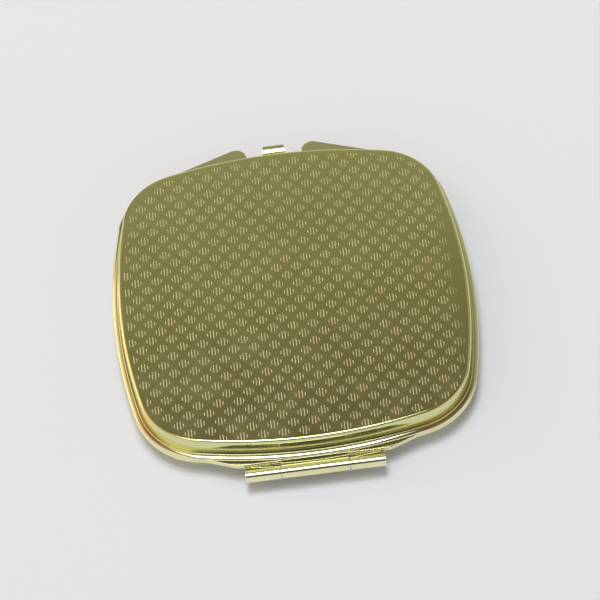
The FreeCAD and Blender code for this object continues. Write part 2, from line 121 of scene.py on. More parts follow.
# ---------------------------------------------------------------- plane curves
def outline_layout():
    """How far off the side arcs' centres lie, the corner arcs' centres, and half the angle of a side."""
    centre = SIDE_RADIUS - HALF_WIDTH
    between = SIDE_RADIUS - CORNER_RADIUS
    corner = (math.sqrt(2 * between**2 - centre**2) - centre) / 2
    return centre, corner, math.atan2(corner, corner + centre)


def outline(inset):
    """The bulging square outline pulled in by inset, anticlockwise; every inset has the same count."""
    centre, corner, half = outline_layout()
    arcs = (
        (-centre, 0.0, SIDE_RADIUS, -half, half, SIDE_STEPS),
        (corner, corner, CORNER_RADIUS, half, math.pi / 2 - half, CORNER_STEPS),
    )
    points = []
    for quarter in range(4):
        turn = quarter * math.pi / 2
        for cx, cy, radius, start, end, steps in arcs:
            x = math.cos(turn) * cx - math.sin(turn) * cy
            y = math.sin(turn) * cx + math.cos(turn) * cy
            reach = radius - inset
            for step in range(steps):
                angle = turn + start + (end - start) * step / steps
                points.append((x + reach * math.cos(angle), y + reach * math.sin(angle)))
    return points


def ring(radius, steps, x=0.0, y=0.0):
    """A circle, anticlockwise."""
    angles = [2 * math.pi * step / steps for step in range(steps)]
    return [(x + radius * math.cos(a), y + radius * math.sin(a)) for a in angles]


def rounded(points, radii, closed=True, steps=5):
    """A path with its corners turned into arcs; radii is one radius or one for each corner."""
    count = len(points)
    if not hasattr(radii, "__len__"):
        radii = [radii] * count
    made = []
    for index, (point, radius) in enumerate(zip(points, radii)):
        at_end = not closed and index in (0, count - 1)
        if at_end or radius <= 0:
            made.append(tuple(point))
            continue
        here = Vector(point)
        back = Vector(points[index - 1]) - here
        ahead = Vector(points[(index + 1) % count]) - here
        half = back.angle(ahead) / 2
        if half > math.radians(89.5):
            made.append(tuple(point))
            continue
        share_back = 0.98 * radius / (radius + max(radii[index - 1], 0.0))
        share_ahead = 0.98 * radius / (radius + max(radii[(index + 1) % count], 0.0))
        reach = min(radius / math.tan(half), share_back * back.length, share_ahead * ahead.length)
        radius = reach * math.tan(half)
        back.normalize()
        ahead.normalize()
        centre = here + (back + ahead).normalized() * (radius / math.sin(half))
        start = here + back * reach - centre
        end = here + ahead * reach - centre
        sweep_angle = start.angle_signed(end)
        for step in range(steps + 1):
            arm = start.copy()
            arm.rotate(Matrix.Rotation(-sweep_angle * step / steps, 2))
            made.append(tuple(centre + arm))
    return made


def left_offset(loop, distance):
    """A closed loop moved to its left by a small distance."""
    moved = []
    count = len(loop)
    for index in range(count):
        here = Vector(loop[index])
        into = (here - Vector(loop[index - 1])).normalized()
        out = (Vector(loop[(index + 1) % count]) - here).normalized()
        way = into + out
        if way.length < 1e-9:
            way = into
        way.normalize()
        stretch = 1 / max(0.6, way.dot(into))
        moved.append((here.x - way.y * distance * stretch, here.y + way.x * distance * stretch))
    return moved


def crown(x, y):
    """Height of the crowned top of the dome."""
    return CROWN_TOP - CROWN_RADIUS + math.sqrt(CROWN_RADIUS**2 - x * x - y * y)


def frame_outline():
    """The stamped outline of both plates: flange, hinge tab and finger ears, anticlockwise."""
    flange = outline(FLANGE)
    leave_x = TAB_HALF + TAB_CORNER * math.sin(TAB_SLOPE)
    leave_y = TAB_Y + TAB_CORNER * (1 - math.cos(TAB_SLOPE))

    def tab_edge(x):
        return leave_y + (abs(x) - leave_x) * math.tan(TAB_SLOPE)

    peak = (NOTCH_HALF + EAR_END, EAR_PEAK - EAR_END)
    ear_x = peak[0] + EAR_END * math.sin(EAR_SLOPE)
    ear_y = peak[1] + EAR_END * math.cos(EAR_SLOPE)
    landing = (EAR_REACH, ear_y - (EAR_REACH - ear_x) * math.tan(EAR_SLOPE))
    ear_top = (NOTCH_HALF, ear_y + (ear_x - NOTCH_HALF) * math.tan(EAR_SLOPE))
    tab_top = (TAB_HALF + TAB_CORNER * math.tan(TAB_SLOPE / 2), TAB_Y)
    tab_reach = min(abs(x) for x, y in flange if y < tab_edge(x) and abs(x) > leave_x)
    kept = [p for p in flange if abs(p[0]) >= (EAR_REACH if p[1] >= 0 else tab_reach)]
    notch = [p for p in flange if p[1] > 0 and abs(p[0]) < NOTCH_HALF]
    right = [p for p in kept if p[0] > 0]
    left = [p for p in kept if p[0] < 0]
    right.sort(key=lambda p: math.atan2(p[1], p[0]))
    left.sort(key=lambda p: math.atan2(p[1], p[0]) % (2 * math.pi))
    notch.sort(key=lambda p: -p[0])
    floor_y = notch[0][1]
    corners = [(-tab_top[0], tab_top[1]), tab_top]
    radii = [TAB_CORNER] * 2
    corners += right
    radii += [4.0] + [0.0] * (len(right) - 1)
    corners += [landing, ear_top, (NOTCH_HALF, floor_y)]
    radii += [0.9, EAR_END, 0.35]
    corners += notch[1:-1]
    radii += [0.0] * (len(notch) - 2)
    corners += [(-NOTCH_HALF, floor_y), (-ear_top[0], ear_top[1]), (-landing[0], landing[1])]
    radii += [0.35, EAR_END, 0.9]
    corners += left
    radii += [0.0] * (len(left) - 1) + [4.0]
    return rounded(corners, radii, steps=7)


# ---------------------------------------------------------------- meshes
class Build:
    """Gathers points and faces in millimetres, then becomes one mesh object in metres."""

    def __init__(self):
        self.points = []
        self.faces = []
        self.finishes = []

    def row(self, points):
        first = len(self.points)
        self.points.extend(tuple(p) for p in points)
        return list(range(first, len(self.points)))

    def level(self, loop, height):
        """A row of points that all lie at one height."""
        return self.row([(x, y, height) for x, y in loop])

    def face(self, corners, finish=0):
        self.faces.append(tuple(corners))
        self.finishes.append(finish)

    def bridge(self, one, other, closed=True):
        """Quads between two rows of the same count."""
        count = len(one)
        for index in range(count if closed else count - 1):
            after = (index + 1) % count
            self.face((one[index], one[after], other[after], other[index]))

    def loft(self, rows, closed=False):
        """Quads from each row to the next, and from the last to the first if closed."""
        for one, other in zip(rows, rows[1:] + (rows[:1] if closed else [])):
            self.bridge(one, other)
        return rows

    def fan(self, rim, centre):
        """Triangles from a closed row to one point."""
        hub = self.row([centre])[0]
        for index in range(len(rim)):
            self.face((rim[index], rim[(index + 1) % len(rim)], hub))

    def anticlockwise(self, loop):
        """True if a row runs anticlockwise, seen from above."""
        corners = [self.points[index] for index in loop]
        return sum(a[0] * b[1] - b[0] * a[1] for a, b in zip(corners, corners[1:] + corners[:1])) > 0

    def fill(self, loops):
        """Triangles between an outer row and the rows of its holes."""
        loops = [loop if self.anticlockwise(loop) else loop[::-1] for loop in loops]
        indices = [index for loop in loops for index in loop]
        flat = [Vector(self.points[index][:2]) for index in indices]
        faces = []
        first = 0
        for loop in loops:
            faces.append(list(range(first, first + len(loop))))
            first += len(loop)
        _, _, triangles, sources, _, regions = delaunay_2d_cdt(flat, [], faces, 1, 1e-7)
        for triangle, within in zip(triangles, regions):
            if within == [0]:
                self.face([indices[sources[corner][0]] for corner in triangle])

    def sweep(self, profile, closed=True):
        """Carries a section of (inset, height) points round the outline and returns its rows."""
        return self.loft([self.level(outline(inset), z) for inset, z in profile], closed)

    def lathe(self, profile, steps=160, closed=False, x=0.0, y=0.0):
        """Turns a section of (radius, height) points about an upright axis and returns its rows."""
        return self.loft([self.level(ring(radius, steps, x, y), z) for radius, z in profile], closed)

    def slab(self, outer, holes, low, high, edge):
        """A flat plate with softened edges. The outer loop runs anticlockwise and holes clockwise."""
        section = []
        for turn in range(4):
            angle = math.pi / 2 * turn / 3
            section.append((edge * (1 - math.sin(angle)), edge * (1 - math.cos(angle))))
        steps = [(inset, low + rise) for inset, rise in section]
        steps += [(inset, high - rise) for inset, rise in reversed(section)]
        tops = []
        bottoms = []
        for loop in [outer] + holes:
            rows = self.loft([self.level(left_offset(loop, inset), z) for inset, z in steps])
            bottoms.append(rows[0])
            tops.append(rows[-1])
        self.fill(bottoms)
        self.fill(tops)

    def strip(self, path, thick, across, edge):
        """A bent strip: its path of (y, z) points is a side view, and `across` holds its two ends in x."""
        count = len(path)
        sides = []
        for index in range(count):
            before = Vector(path[max(index - 1, 0)])
            after = Vector(path[min(index + 1, count - 1)])
            way = (after - before).normalized()
            sides.append(Vector((-way.y, way.x)))
        rows = []
        stations = ((across[0], edge), (across[0] + edge, 0), (across[1] - edge, 0), (across[1], edge))
        for station, thinner in stations:
            half = thick / 2 - thinner
            upper = [Vector(p) + s * half for p, s in zip(path, sides)]
            lower = [Vector(p) - s * half for p, s in zip(path, sides)]
            rows.append(self.row([(station, p.x, p.y) for p in upper + lower[::-1]]))
        self.loft(rows)
        for row in (rows[0], rows[-1]):
            for index in range(count - 1):
                opposite = 2 * count - 1 - index
                self.face((row[index], row[index + 1], row[opposite - 1], row[opposite]))

    def become(self, name, body, materials, stands_for, sharp=35.0):
        """Makes the object, dresses it and sets it on its CAD body."""
        data = bpy.data.meshes.new(name)
        data.from_pydata([(x * MM, y * MM, z * MM) for x, y, z in self.points], [], self.faces)
        for material in materials:
            data.materials.append(material)
        data.polygons.foreach_set("material_index", self.finishes)
        edit = bmesh.new()
        edit.from_mesh(data)
        bmesh.ops.recalc_face_normals(edit, faces=edit.faces)
        edit.to_mesh(data)
        edit.free()
        even_shading(data, sharp)
        made = add(name, data)
        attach(made, body)
        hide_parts(*stands_for)
        return made


def even_shading(data, sharp=35.0):
    """Shades every corner by the faces that meet there within the sharp angle, larger ones counting more."""
    facing = [polygon.normal.copy() for polygon in data.polygons]
    area = [polygon.area / (MM * MM) for polygon in data.polygons]
    meeting = [[] for _ in data.vertices]
    for polygon in data.polygons:
        for vertex in polygon.vertices:
            meeting[vertex].append(polygon.index)
    within = math.cos(math.radians(sharp))
    normals = []
    for polygon in data.polygons:
        own = facing[polygon.index]
        for vertex in polygon.vertices:
            total = Vector((0.0, 0.0, 0.0))
            for other in meeting[vertex]:
                if facing[other].dot(own) > within:
                    total += facing[other] * area[other]
            normals.append(total.normalized() if total.length > 1e-9 else own)
    data.shade_smooth()
    data.normals_split_custom_set(normals)


# ---------------------------------------------------------------- materials
class Finish:
    """A Principled material and short ways to wire its nodes."""

    def __init__(self, name, **settings):
        self.material = bpy.data.materials.new(name)
        self.material.use_nodes = True
        self.tree = self.material.node_tree
        self.shader = self.tree.nodes["Principled BSDF"]
        for socket, value in settings.items():
            self.shader.inputs[socket.replace("_", " ")].default_value = value
        self.place = self.tree.nodes.new("ShaderNodeTexCoord").outputs["Object"]

    def node(self, kind, inputs, **settings):
        made = self.tree.nodes.new("ShaderNode" + kind)
        for name, value in settings.items():
            setattr(made, name, value)
        for socket, value in inputs.items():
            if isinstance(value, bpy.types.NodeSocket):
                self.tree.links.new(value, made.inputs[socket])
            else:
                made.inputs[socket].default_value = value
        return made

    def stretched(self, scale, turn=0.0):
        """The object's own coordinates, turned about Z and scaled along each axis."""
        turned = self.node("Mapping", {"Vector": self.place, "Rotation": (0.0, 0.0, math.radians(turn))})
        return self.node("Mapping", {"Vector": turned.outputs[0], "Scale": scale}).outputs[0]

    def noise(self, scale, detail=3.0, where=None):
        inputs = {"Vector": where or self.place, "Scale": scale, "Detail": detail}
        return self.node("TexNoise", inputs).outputs["Fac"]

    def span(self, value, low, high, to_low, to_high):
        return self.node("MapRange", {
            "Value": value, "From Min": low, "From Max": high, "To Min": to_low, "To Max": to_high,
        }).outputs["Result"]

    def sum(self, one, other):
        return self.node("Math", {0: one, 1: other}, operation="ADD").outputs[0]

    def product(self, one, other):
        return self.node("Math", {0: one, 1: other}, operation="MULTIPLY").outputs[0]

    def blend(self, share, one, other):
        """A colour between two others."""
        mixed = self.node("Mix", {0: share}, data_type="RGBA")
        mixed.inputs[6].default_value = (*one, 1.0)
        mixed.inputs[7].default_value = (*other, 1.0)
        return mixed.outputs[2]

    def colour(self, value):
        self.tree.links.new(value, self.shader.inputs["Base Color"])

    def roughness(self, value):
        self.tree.links.new(value, self.shader.inputs["Roughness"])

    def bump(self, height, depth):
        bumped = self.node("Bump", {"Height": height, "Distance": depth})
        self.tree.links.new(bumped.outputs[0], self.shader.inputs["Normal"])


def hairlines(finish, turn, cut=0.68):
    """Sparse fine scratches that run one way."""
    lines = finish.noise(1.0, 2.0, finish.stretched((5200.0, 60.0, 60.0), turn))
    return finish.span(lines, cut, cut + 0.1, 0.0, 1.0)


def gold(name, light, deep, low_rough, high_rough, scratch=0.4, grain=0.0):
    """Lacquered pale gold plate: faint colour drift, smudged gloss and hairline scratches."""
    finish = Finish(name, Metallic=1.0)
    drift = finish.span(finish.noise(55.0, 3.0), 0.35, 0.65, 0.0, 1.0)
    finish.colour(finish.blend(drift, light, deep))
    smudge = finish.span(finish.noise(180.0, 4.0), 0.35, 0.7, low_rough, high_rough)
    marks = finish.sum(hairlines(finish, 31.0), hairlines(finish, -48.0, cut=0.7))
    finish.roughness(finish.sum(smudge, finish.product(marks, 0.12)))
    surface = finish.product(marks, -scratch)
    if grain:
        fine = finish.noise(1.0, 2.0, finish.stretched((9000.0, 500.0, 500.0)))
        surface = finish.sum(surface, finish.product(fine, grain))
    finish.bump(surface, 0.000002)
    return finish.material


def steel(name, tint, low_rough, high_rough):
    """Bare drawn wire or spring leaf, with faint lengthwise draw marks."""
    finish = Finish(name, Metallic=1.0)
    drift = finish.noise(400.0, 3.0)
    finish.colour(finish.blend(drift, tint, tuple(0.8 * c for c in tint)))
    marks = finish.noise(1.0, 3.0, finish.stretched((150.0, 6000.0, 6000.0)))
    finish.roughness(finish.span(marks, 0.3, 0.7, low_rough, high_rough))
    finish.bump(marks, 0.000003)
    return finish.material


def cloth(name, light, deep, pitch, sheen, rough, relief, rib=False):
    """Woven or piled fabric: a fine repeating relief with uneven colour."""
    finish = Finish(name, Roughness=rough, Sheen_Weight=sheen, Sheen_Roughness=0.4)
    drift = finish.noise(260.0, 4.0)
    threads = {
        "Vector": finish.place, "Scale": 1.0 / pitch, "Distortion": 0.4, "Detail": 2.0, "Detail Scale": 2.0,
    }
    pattern = finish.node("TexWave", threads, bands_direction="X").outputs["Fac"]
    if not rib:
        crossing = finish.node("TexWave", threads, bands_direction="Y").outputs["Fac"]
        pattern = finish.product(pattern, crossing)
    shade = finish.span(finish.sum(finish.product(pattern, 0.35), drift), 0.3, 1.0, 0.0, 1.0)
    finish.colour(finish.blend(shade, deep, light))
    finish.bump(finish.sum(pattern, drift), relief)
    return finish.material


def velour(name, light, deep):
    """Short soft pile that catches light at its edges."""
    finish = Finish(name, Roughness=0.95, Sheen_Weight=0.8, Sheen_Roughness=0.5)
    tufts = finish.noise(5200.0, 2.0)
    stroke = finish.noise(240.0, 3.0)
    finish.colour(finish.blend(finish.span(finish.sum(tufts, stroke), 0.7, 1.3, 0.0, 1.0), deep, light))
    finish.bump(tufts, 0.00012)
    return finish.material


def powder_cake(name, light, deep):
    """Pressed powder: matt, with fine grains and a few darker specks."""
    finish = Finish(name, Roughness=0.92)
    grains = finish.noise(9000.0, 2.0)
    patches = finish.noise(320.0, 5.0)
    mixed = finish.span(finish.sum(finish.product(grains, 0.6), patches), 0.5, 1.1, 0.0, 1.0)
    finish.colour(finish.blend(mixed, deep, light))
    finish.bump(grains, 0.00003)
    return finish.material


def silvered_glass(name):
    """Front of a small mirror: bright silver with the faintest haze."""
    finish = Finish(name, Metallic=1.0, Coat_Weight=0.6, Coat_Roughness=0.01)
    haze = finish.noise(120.0, 4.0)
    finish.colour(finish.blend(haze, (0.93, 0.95, 0.94), (0.89, 0.92, 0.91)))
    finish.roughness(finish.span(haze, 0.4, 0.75, 0.012, 0.05))
    return finish.material


def board(name, light, deep, rough, relief):
    """Card, foam or adhesive: matt with fine fibres or cells."""
    finish = Finish(name, Roughness=rough)
    fibres = finish.noise(2600.0, 5.0)
    finish.colour(finish.blend(fibres, light, deep))
    finish.bump(fibres, relief)
    return finish.material


GOLD_LIGHT = (0.91, 0.885, 0.56)
GOLD_DEEP = (0.86, 0.83, 0.49)
SATIN = gold("engraved_gold_field", (0.775, 0.793, 0.41), (0.726, 0.736, 0.365), 0.10, 0.16, grain=0.3)
# the strokes' cut faces: rougher gold whose pale cream colour is partly a painted highlight for the glint
# off the groove flanks; the V-grooves themselves are real geometry
CUT_WITH_PAINTED_GLINT = gold("engraved_gold_cut_painted_glint", (0.91, 0.93, 0.73), (0.89, 0.85, 0.68), 0.34, 0.44)
POLISHED = gold("polished_gold", GOLD_LIGHT, GOLD_DEEP, 0.03, 0.07, scratch=0.12)
SOFT_GOLD = gold("satin_gold", GOLD_LIGHT, GOLD_DEEP, 0.2, 0.3, grain=0.6)
PIN_STEEL = steel("pin_steel", (0.62, 0.60, 0.55), 0.2, 0.4)
SPRING_STEEL = steel("spring_steel", (0.42, 0.43, 0.45), 0.25, 0.4)
PAN_METAL = steel("pan_metal", (0.80, 0.80, 0.79), 0.22, 0.38)
POWDER = powder_cake("powder", (0.78, 0.52, 0.38), (0.67, 0.42, 0.29))
VELOUR = velour("velour", (0.85, 0.74, 0.62), (0.72, 0.60, 0.48))
PUFF_SATIN = cloth("satin", (0.86, 0.70, 0.58), (0.78, 0.60, 0.48), 0.0016, 0.5, 0.38, 0.00002)
RIBBON = cloth("ribbon", (0.88, 0.76, 0.62), (0.78, 0.64, 0.50), 0.0022, 0.4, 0.34, 0.00003, rib=True)
MIRROR_GLASS = silvered_glass("mirror_glass")
CARD = board("card", (0.62, 0.55, 0.44), (0.52, 0.45, 0.35), 0.85, 0.00002)
FOAM = board("foam", (0.55, 0.55, 0.54), (0.38, 0.38, 0.38), 0.95, 0.0001)


# ---------------------------------------------------------------- the engraved dome
COLUMN_PITCH = 3.569
ROW_PITCH = 1.805
PATTERN_AT = (1.11, -2.03)
PATTERN_SKEW = math.radians(-0.85)
STROKE_WIDTH = 0.125
STROKE_DEPTH = 0.035
STROKES = (                          # offset across, length, bow
    (-0.77, 0.85, -0.05),
    (-0.27, 1.74, 0.0),
    (0.27, 1.74, 0.0),
    (0.77, 0.85, 0.05),
)
FADE_FROM = 26.6                     # the strokes die away towards the right edge
FADE_TO = 29.0
BACK_THINNING = 0.14                 # and are cut a little finer towards the catch
EDGE_MARGIN = DOME_EDGE + 0.06       # strokes stop this far inside the outline
BACK_MARGIN = 0.5
SHORTEST = 0.35
SHORTEN_BY = 0.05


def inside(x, y, inset):
    """True if a point lies inside the outline pulled in by inset."""
    centre, corner, half = outline_layout()
    reach = SIDE_RADIUS - inset
    sides = all(math.hypot(x + dx, y + dy) < reach for dx, dy in (
        (centre, 0.0), (-centre, 0.0), (0.0, centre), (0.0, -centre),
    ))
    dx = abs(x) - corner
    dy = abs(y) - corner
    if dx <= 0 or dy <= 0:
        return sides
    turn = math.atan2(dy, dx)
    if half < turn < math.pi / 2 - half:
        return math.hypot(dx, dy) < CORNER_RADIUS - inset
    return sides


def stroke_groups():
    """Middles of the groups of strokes, in rows that are shifted by half a column in turn."""
    cos, sin = math.cos(PATTERN_SKEW), math.sin(PATTERN_SKEW)
    rows = int(HALF_WIDTH / ROW_PITCH) + 3
    columns = int(HALF_WIDTH / COLUMN_PITCH) + 3
    for row in range(-rows, rows + 1):
        for column in range(-columns, columns + 1):
            across = (column + 0.5 * (row % 2)) * COLUMN_PITCH
            up = row * ROW_PITCH
            yield PATTERN_AT[0] + across * cos - up * sin, PATTERN_AT[1] + across * sin + up * cos


def cut_strokes():
    """Every stroke as its outline and its deepest line: ([(x, y), ...], [(x, y), ...], depth)."""
    chance = random.Random(11)
    for group_x, group_y in stroke_groups():
        for offset, length, bow in STROKES:
            x, y = group_x, group_y
            length *= chance.uniform(0.94, 1.04)
            width = STROKE_WIDTH * chance.uniform(0.85, 1.12) * (1 - BACK_THINNING * y / HALF_WIDTH)
            depth = STROKE_DEPTH * chance.uniform(0.8, 1.1)
            middle = x + offset
            fade = min(1.0, max(0.0, (FADE_TO - middle) / (FADE_TO - FADE_FROM)))
            low, high = y - length / 2, y + length / 2
            while high - low > SHORTEST and not inside(middle, low, EDGE_MARGIN):
                low += SHORTEN_BY
            while high - low > SHORTEST and not inside(middle, high, EDGE_MARGIN + BACK_MARGIN):
                high -= SHORTEN_BY
            if fade < 0.15 or high - low <= SHORTEST:
                continue
            y, length = (low + high) / 2, high - low
            shares = (-1.0, 0.0, 1.0) if bow else (-1.0, 1.0)
            half = length / 2 - width * 0.7
            spine = [(middle + bow * (1 - share * share), y + share * half) for share in shares]
            wide = width * (0.5 + 0.5 * fade) / 2
            right_side = [(px + wide, py) for px, py in spine]
            left_side = [(px - wide, py) for px, py in reversed(spine)]
            tip_low = (spine[0][0], y - length / 2)
            tip_high = (spine[-1][0], y + length / 2)
            yield [tip_low] + right_side + [tip_high] + left_side, spine, depth * fade


def engraved_panel():
    """The drawn dome: upright wall, rounded edge and crowned top with V-shaped engraved strokes."""
    build = Build()
    rows = [build.level(outline(0.0), DOME_LOW.z + rise) for rise in (0.0, DOME_WALL_RING)]
    for step in range(9):
        angle = math.pi / 2 * (1 - step / 8)
        drop = DOME_EDGE * (1 - math.cos(angle))
        edge = outline(DOME_EDGE * (1 - math.sin(angle)))
        rows.append(build.row([(x, y, crown(x, y) - drop) for x, y in edge]))
    build.loft(rows)
    rim = rows[-1]
    flat = [Vector(build.points[index][:2]) for index in rim]
    faces = [list(range(len(rim)))]
    edges = []
    sunk = {}
    for edge_line, spine, depth in cut_strokes():
        first = len(flat)
        flat.extend(Vector(p) for p in edge_line)
        faces.append(list(range(first, len(flat))))
        first = len(flat)
        flat.extend(Vector(p) for p in spine)
        edges.extend((index, index + 1) for index in range(first, len(flat) - 1))
        sunk.update((index, depth) for index in range(first, len(flat)))
    extra = build.row([
        (p.x, p.y, crown(p.x, p.y) - sunk.get(index, 0.0))
        for index, p in enumerate(flat[len(rim):], start=len(rim))
    ])
    indices = rim + extra
    _, _, triangles, sources, _, regions = delaunay_2d_cdt(flat, edges, faces, 1, 1e-7)
    for triangle, within in zip(triangles, regions):
        # faces inside the strokes take the cut finish, whose paler colour is a painted glint
        build.face([indices[sources[corner][0]] for corner in triangle], 1 if len(within) > 1 else 0)
    inner = build.sweep(rounded(
        [(DOME_WALL, DOME_LOW.z), (DOME_WALL, DOME_CEILING), (DOME_WALL + 1.2, DOME_CEILING)],
        0.4, closed=False,
    ), closed=False)
    build.bridge(rows[0], inner[0])
    build.fill([inner[-1]])
    build.become("engraved_panel", "lid", [SATIN, CUT_WITH_PAINTED_GLINT], ["lid_panel"], sharp=14.0)


# ---------------------------------------------------------------- stamped frames and hinge
def rolled_strip(start_z, lift, wrap):
    """Side view of a knuckle: from the tab, up to the barrel at angle `lift`, then round it by `wrap`."""
    radius = KNUCKLE_RADIUS - KNUCKLE_STRIP / 2
    roll = []
    steps = 44
    for step in range(steps + 1):
        angle = math.radians(lift + wrap * step / steps)
        roll.append((HINGE_Y + radius * math.cos(angle), HINGE_Z + radius * math.sin(angle)))
    touch = Vector(roll[0])
    tangent = Vector((-math.sin(math.radians(lift)), math.cos(math.radians(lift))))
    bend = touch - tangent * ((touch.y - start_z) / tangent.y)
    lead = rounded([(TAB_Y + 0.9, start_z), tuple(bend), tuple(touch)], 0.55, closed=False, steps=8)
    return lead[:-1] + roll


def lid_frame():
    build = Build()
    hole = outline(LID_OPENING)[::-1]
    build.slab(frame_outline(), [hole], LID_PLATE_LOW, LID_PLATE_HIGH, PLATE_EDGE)
    rise = LID_RIM_HIGH - LID_PLATE_HIGH
    bead_rise = BEAD_HIGH - LID_RIM_HIGH
    section = [(-SEAM, LID_PLATE_HIGH + SEAM), (FLANGE, LID_PLATE_HIGH + SEAM)]
    for step in range(1, 13):
        angle = math.pi / 2 * step / 12
        section.append((BEAD + (FLANGE - BEAD) * math.cos(angle), LID_PLATE_HIGH + rise * math.sin(angle)))
    section += rounded(
        [(BEAD, LID_RIM_HIGH), (BEAD, BEAD_HIGH), (-SEAM, BEAD_HIGH)],
        [0.0, bead_rise * 0.8, 0.0], closed=False, steps=7,
    )[1:]
    build.sweep(section)
    middle = (LID_PLATE_LOW + LID_PLATE_HIGH) / 2
    build.strip(rolled_strip(middle, *LID_ROLL), KNUCKLE_STRIP - 0.02, LID_KNUCKLE, 0.06)
    build.become("lid_frame_stamping", "lid", [POLISHED], ["lid_frame"])


def base_frame():
    build = Build()
    hole = outline(BASE_OPENING)[::-1]
    build.slab(frame_outline(), [hole], BASE_PLATE_LOW, BASE_PLATE_HIGH, PLATE_EDGE)
    build.sweep(rounded([
        (FLANGE, BASE_PLATE_LOW - SEAM), (FLANGE, BASE_RIM_LOW),
        (BASE_OPENING, BASE_RIM_LOW), (BASE_OPENING, BASE_PLATE_LOW - SEAM),
    ], [0.0, 0.24, 0.05, 0.0], steps=7))
    middle = (BASE_PLATE_LOW + BASE_PLATE_HIGH) / 2 - 0.02
    for across in BASE_KNUCKLES:
        build.strip(rolled_strip(middle, *BASE_ROLL), KNUCKLE_STRIP - 0.02, across, 0.06)
    build.become("base_frame_stamping", "base", [POLISHED], ["base_frame"])


def hinge_pin():
    """A cut wire whose ends are slightly rounded by tumbling."""
    build = Build()
    round_end = 0.12
    rows = []
    stations = [
        (PIN_LOW.x, PIN_RADIUS - round_end),
        (PIN_LOW.x + round_end * 0.3, PIN_RADIUS - round_end * 0.3),
        (PIN_LOW.x + round_end, PIN_RADIUS),
    ]
    stations += [(-x, radius) for x, radius in reversed(stations)]
    for x, radius in stations:
        rows.append(build.row([(x, HINGE_Y + y, HINGE_Z + z) for y, z in ring(radius, 40)]))
    build.loft(rows)
    build.fan(rows[0], (PIN_LOW.x, HINGE_Y, HINGE_Z))
    build.fan(rows[-1], (PIN_HIGH.x, HINGE_Y, HINGE_Z))
    build.become("hinge_wire", "base", [PIN_STEEL], ["hinge_pin"])


# ---------------------------------------------------------------- catch
CATCH_LOW, CATCH_HIGH = box_mm("catch_slide")
CATCH_STRIP = 0.35


def catch_slide():
    """The bent strip: hook, foot, leg, sloping shoulder and thumb lip."""
    half = CATCH_STRIP / 2
    hook_y = CATCH_LOW.y + half
    foot_z = CATCH_LOW.z + half
    lip_z = CATCH_HIGH.z - half
    leg_y = 33.15 + half
    shoulder_z = 4.29 - half
    lip_root_y = 33.95 + half * 0.3
    hook_z = 4.05 - half
    hook_tip_y = 28.47
    corners = [
        (hook_tip_y, hook_z), (hook_y, hook_z), (hook_y, foot_z), (leg_y, foot_z),
        (leg_y, shoulder_z), (lip_root_y, lip_z), (CATCH_HIGH.y, lip_z),
    ]
    build = Build()
    path = rounded(corners, [0.0, 0.4, 0.4, 0.4, 0.3, 0.6, 0.0], closed=False, steps=8)
    build.strip(path, CATCH_STRIP - 0.01, (CATCH_LOW.x, CATCH_HIGH.x), 0.05)
    build.become("catch_strip", "catch", [POLISHED], ["catch_slide"])


RIVET_X = 4.4
RIVET_Y = 28.2
RIVET_SHANK = 0.5
RIVET_TOP = box_mm("catch_rivets")[1].z


def catch_rivets():
    """Two rivets with low domed heads inside and flush tails under the base."""
    build = Build()
    head_low = RIVET_TOP - 0.2
    section = [
        (0.3, 0.02), (RIVET_SHANK - 0.04, 0.02), (RIVET_SHANK - 0.01, 0.06), (RIVET_SHANK - 0.01, head_low),
        (0.86, head_low), (0.9, head_low + 0.05), (0.8, head_low + 0.13), (0.5, head_low + 0.185),
    ]
    for side in (-1, 1):
        x = side * RIVET_X
        rows = build.lathe(section, 36, x=x, y=RIVET_Y)
        build.fan(rows[0], (x, RIVET_Y, 0.03))
        build.fan(rows[-1], (x, RIVET_Y, RIVET_TOP))
    build.become("catch_rivet_pair", "base", [SOFT_GOLD], ["catch_rivets"])


# ---------------------------------------------------------------- base
SHELL_OUT = 0.85
SHELL_IN = 1.3
SHELL_FOOT = 1.0
SLOT_HALF = 2.15
SLOT_LOW = 0.7
SLOT_HIGH = 1.35


